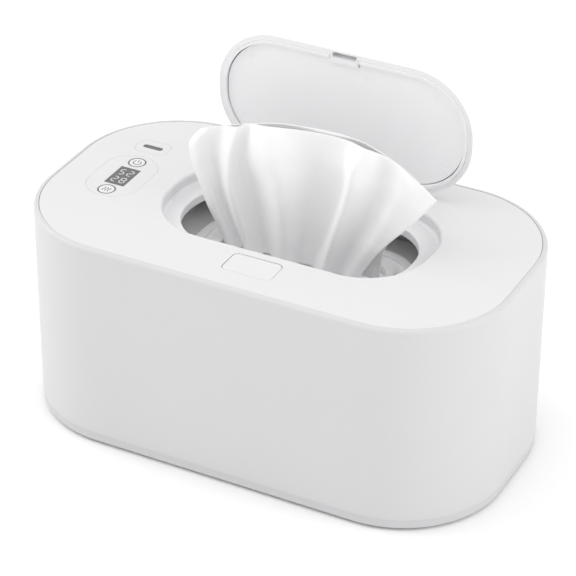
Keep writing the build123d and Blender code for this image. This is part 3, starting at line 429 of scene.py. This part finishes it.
def printed(name, shape, material, body):
    """Gives a flat print its thickness and puts it on what it is printed on."""
    flat = list(shape.faces)
    raised = bmesh.ops.extrude_face_region(shape, geom=flat)["geom"]
    tops = [item for item in raised if isinstance(item, bmesh.types.BMVert)]
    bmesh.ops.translate(shape, vec=(0, 0, ink_height), verts=tops)
    bmesh.ops.recalc_face_normals(shape, faces=shape.faces)
    piece = link_new(name, shape)
    piece.data.materials.append(material)
    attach(piece, body)
    return piece


def key_centre(node):
    """Middle of a key's top face, a hair below it."""
    low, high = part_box(node)
    return Vector(((low.x + high.x) / 2, (low.y + high.y) / 2, high.z - ink_sunk))


power_centre = key_centre("power_key")
sign_radius = 0.0019
sign_gap = math.radians(76)
sign_bar_rise = sign_radius * 0.75
sign_bar_length = sign_radius * 1.1
shape = bmesh.new()
arc_line(shape, power_centre, ring_radius, ring_line)
arc_line(
    shape,
    power_centre,
    sign_radius,
    sign_line,
    start=math.pi / 2 + sign_gap / 2,
    sweep=2 * math.pi - sign_gap,
)
bar_centre = power_centre + Vector((0, sign_bar_rise, 0))
straight_line(shape, bar_centre, sign_bar_length, sign_line, math.pi / 2)
printed("power_key_print", shape, ink, "power_key")

heat_centre = key_centre("heat_key")
wave_pitch = 0.0014
wave_height = 0.0034
wave_swing = 0.00035
wave_steps = 16
shape = bmesh.new()
arc_line(shape, heat_centre, ring_radius, ring_line)
for wave in (-1, 0, 1):
    made = bmesh.ops.create_grid(shape, x_segments=1, y_segments=wave_steps, size=0.5)["verts"]
    bmesh.ops.scale(shape, vec=(sign_line, wave_height, 1), verts=made)
    for corner in made:
        corner.co.x += wave_swing * math.sin(2 * math.pi * corner.co.y / wave_height)
    bmesh.ops.translate(shape, vec=heat_centre + Vector((wave * wave_pitch, 0, 0)), verts=made)
printed("heat_key_print", shape, ink, "heat_key")

digit_height = 0.0052
digit_width = 0.0029
digit_pitch = 0.0044
digit_row = 0.0073
segment_line = 0.00055
segment_gap = 0.0003
# segments of a number: top, upper right, lower right, bottom, lower left, upper left, middle
segment_places = [
    (0, 1, 0),
    (0.5, 0.5, 1),
    (0.5, -0.5, 1),
    (0, -1, 0),
    (-0.5, -0.5, 1),
    (-0.5, 0.5, 1),
    (0, 0, 0),
]
segments_of = {"0": "012345", "2": "01643", "5": "05623", "8": "0123456"}


def number(shape, text, centre):
    """Adds a row of seven-segment numbers, centred there."""
    half = digit_height / 2 - segment_line / 2
    for place, sign in enumerate(text):
        middle = centre + Vector(((place - (len(text) - 1) / 2) * digit_pitch, 0, 0))
        for segment in segments_of[sign]:
            across, up, upright = segment_places[int(segment)]
            spot = middle + Vector((across * (digit_width - segment_line), up * half, 0))
            length = (half if upright else digit_width - segment_line) - segment_gap
            straight_line(shape, spot, length, segment_line, math.pi / 2 if upright else 0.0)


low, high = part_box("display_window")
window_centre = Vector(((low.x + high.x) / 2, (low.y + high.y) / 2, high.z - ink_sunk))
shape = bmesh.new()
number(shape, "52", window_centre + Vector((0, digit_row / 2, 0)))
number(shape, "28", window_centre - Vector((0, digit_row / 2, 0)))
printed("display_numbers", shape, lit, "cover")

# ---------------------------------------------------------------- indicator
# A second small overlay behind the panel holds a grey light pipe that glows when the tub is warm.
pipe_grey = (0.14, 0.14, 0.145, 1)
pipe_shade = (0.11, 0.11, 0.115, 1)

dress(plastic("light_pipe", pipe_grey, pipe_shade, roughness=0.25, depth=0.000004), "indicator_lens")

# ---------------------------------------------------------------- release button and its springs
# The button is white ABS and rises 2 mm on two coil springs when it is let go; a third spring pushes the
# latch back. The springs are wound from bright steel wire.
button_white = (0.74, 0.74, 0.745, 1)
wire_radius = 0.0003
wire_sides = 8
turn_steps = 20
button_spring_turns = 9
latch_spring_turns = 6

dress(plastic("button_plastic", button_white, cover_shade, roughness=0.38), "release_button")


def coil(name, node, axis, turns, start, end, radius, body):
    """Round-wire spring from start to end, which stands for a CAD spring."""
    direction = (end - start).normalized()
    side = axis.orthogonal().normalized()
    shape = bmesh.new()
    section = bmesh.ops.create_circle(shape, cap_ends=False, segments=wire_sides, radius=wire_radius)["verts"]
    stand = side.cross(direction).to_track_quat("Z", "Y").to_matrix()
    bmesh.ops.rotate(shape, cent=(0, 0, 0), matrix=stand, verts=section)
    bmesh.ops.translate(shape, vec=start + side * radius, verts=section)
    bmesh.ops.spin(
        shape,
        geom=list(shape.verts) + list(shape.edges),
        cent=start,
        axis=direction,
        dvec=(end - start) / (turns * turn_steps),
        angle=2 * math.pi * turns,
        steps=turns * turn_steps,
    )
    bmesh.ops.holes_fill(shape, edges=[edge for edge in shape.edges if edge.is_boundary])
    bmesh.ops.recalc_face_normals(shape, faces=shape.faces)
    for face in shape.faces:
        face.smooth = True
    piece = link_new(name, shape)
    piece.data.materials.append(steel)
    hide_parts(node)
    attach(piece, body)
    return piece


low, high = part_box("button_springs")
coil_radius = (high.y - low.y) / 2 - wire_radius
spring_height = high.z - low.z
for name, x in (("button_spring_left", low.x + coil_radius), ("button_spring_right", high.x - coil_radius)):
    foot = Vector((x, (low.y + high.y) / 2, low.z + wire_radius))
    head = foot + Vector((0, 0, spring_height - 2 * wire_radius))
    spring = coil(
        name,
        "button_springs",
        Vector((0, 0, 1)),
        button_spring_turns,
        foot,
        head,
        coil_radius,
        "cover",
    )
    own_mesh(spring)
low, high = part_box("latch_spring")
foot = Vector(((low.x + high.x) / 2, low.y + wire_radius, (low.z + high.z) / 2))
head = Vector((foot.x, high.y - wire_radius, foot.z))
spring = coil(
    "latch_spring_coil",
    "latch_spring",
    Vector((0, 1, 0)),
    latch_spring_turns,
    foot,
    head,
    coil_radius,
    "cover",
)
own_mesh(spring)

# ---------------------------------------------------------------- flip lid
# Shell of white ABS with a soft outer edge, its colour painted paler than the casing's as painted light on
# the upright lid; a panel painted paler still, as painted light on its front face, is staked into it from
# inside, with a silicone lip round it and a small catch bar for the latch at the front.
# The lid and panel colours carry painted light: both are paler than the casing's white ABS.
lid_white_painted_light = (0.86, 0.86, 0.865, 1)
lid_drift_painted_light = (0.84, 0.84, 0.85, 1)
panel_white_painted_light = (0.92, 0.92, 0.925, 1)
panel_drift_painted_light = (0.90, 0.90, 0.91, 1)

lid_plastic_painted_light = plastic("lid_plastic_painted_light", lid_white_painted_light, lid_drift_painted_light, roughness=0.38)
dress(lid_plastic_painted_light, "flip_lid", "lid_catch")
dress(plastic("lid_panel_plastic_painted_light", panel_white_painted_light, panel_drift_painted_light, roughness=0.45), "lid_panel")
low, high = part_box("lid_spring")
axis_y = (low.y + high.y) / 2
axis_z = (low.z + high.z) / 2
foot = Vector((low.x + wire_radius, axis_y, axis_z))
head = Vector((high.x - wire_radius, axis_y, axis_z))
lid_coil_radius = (high.z - low.z) / 2 - wire_radius
lid_spring_turns = 9
coil(
    "lid_spring_coil",
    "lid_spring",
    Vector((1, 0, 0)),
    lid_spring_turns,
    foot,
    head,
    lid_coil_radius,
    "cover",
)

# ---------------------------------------------------------------- standing wipe
# One damp wipe is drawn up through the outlet. It is folded double, with the fold at its left edge: the
# front layer fans out in soft pleats, and the rear layer stands a little higher behind it. The lid
# crushes it when it shuts.
wipe_thickness = 0.0004
crumple_size = 0.011
crumple_depth = 0.00045
steps_across = 150
steps_up = 60

# Pleats from the front layer's right edge, round the fold at the left and back along the rear layer.
# Each is four points up the sheet, in millimetres from the middle of the casing and from the plate's top.
pleats = [
    ((36, 0, -2), (48, -2, 18), (64, -2, 37), (74, 2, 50)),
    ((31, -1, -2), (53, -3, 40), (59, -1, 55), (59, 2, 61)),
    ((25, 2, -2), (43, 2, 40), (46, 3, 56), (47, 4, 65)),
    ((19, -3, -2), (33, -7, 44), (36, -6, 59), (39, 0, 69)),
    ((12, 2, -2), (25, 3, 39), (26, 3, 56), (26, 5, 68)),
    ((5, 2, -2), (11, 4, 35), (11, 4, 52), (8, 6, 67)),
    ((-1, -3, -2), (-1, -7, 38), (-7, -6, 55), (-13, 1, 67)),
    ((-12, 3, -2), (-20, 5, 29), (-25, 5, 47), (-23, 7, 63)),
    ((-19, -2, -2), (-28, -3, 29), (-30, -1, 47), (-29, 4, 61)),
    ((-25, 2, -2), (-37, 4, 25), (-40, 5, 46), (-38, 7, 58)),
    ((-30, -1, -2), (-40, -1, 25), (-49, 1, 47), (-45, 5, 56)),
    ((-34, 2, -2), (-47, 4, 21), (-55, 6, 43), (-50, 8, 53)),
    ((-31, 5, -2), (-40, 7, 24), (-48, 9, 46), (-44, 9, 55)),
    ((-12, 6, -2), (-20, 8, 26), (-25, 9, 47), (-23, 9, 62)),
    ((4, 6, -2), (3, 8, 28), (0, 9, 51), (-2, 8, 67)),
    ((20, 6, -2), (24, 8, 30), (29, 8, 54), (31, 6, 69)),
    ((38, 6, -2), (44, 7, 22), (52, 7, 44), (55, 5, 61)),
    ((45, 5, -2), (48, 6, 17), (59, 6, 33), (73, 4, 49)),
]


def smooth_run(points, share):
    """Point on the smooth line through the points, at that share of the way along it."""
    last = len(points) - 1
    place = min(share * last, last - 1e-6)
    first = int(place)
    part = place - first
    before = points[max(first - 1, 0)]
    start, end = points[first], points[first + 1]
    after = points[min(first + 2, last)]
    return 0.5 * (
        2 * start
        + (end - before) * part
        + (2 * before - 5 * start + 4 * end - after) * part ** 2
        + (3 * start - before - 3 * end + after) * part ** 3
    )


plate_top = Vector((0, 0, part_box("press_plate")[1].z))
pleat_lines = [[plate_top + Vector(point) / 1000 for point in pleat] for pleat in pleats]
shape = bmesh.new()
bmesh.ops.create_grid(shape, x_segments=steps_across, y_segments=steps_up, size=0.5)
for corner in shape.verts:
    across, up = corner.co.x + 0.5, corner.co.y + 0.5
    corner.co = smooth_run([smooth_run(line, up) for line in pleat_lines], across)
for corner in shape.verts:
    corner.co.y += crumple_depth * noise.noise(corner.co / crumple_size)
for face in shape.faces:
    face.smooth = True
wipe = link_new("wipe_sheet", shape)
wall = wipe.modifiers.new("thickness", "SOLIDIFY")
wall.thickness = wipe_thickness
wall.offset = 0
wipe.data.materials.append(nonwoven("wipe_cloth", cloth_white, cloth_shade))
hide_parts("wipe")
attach(wipe, "cover")
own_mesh(wipe)
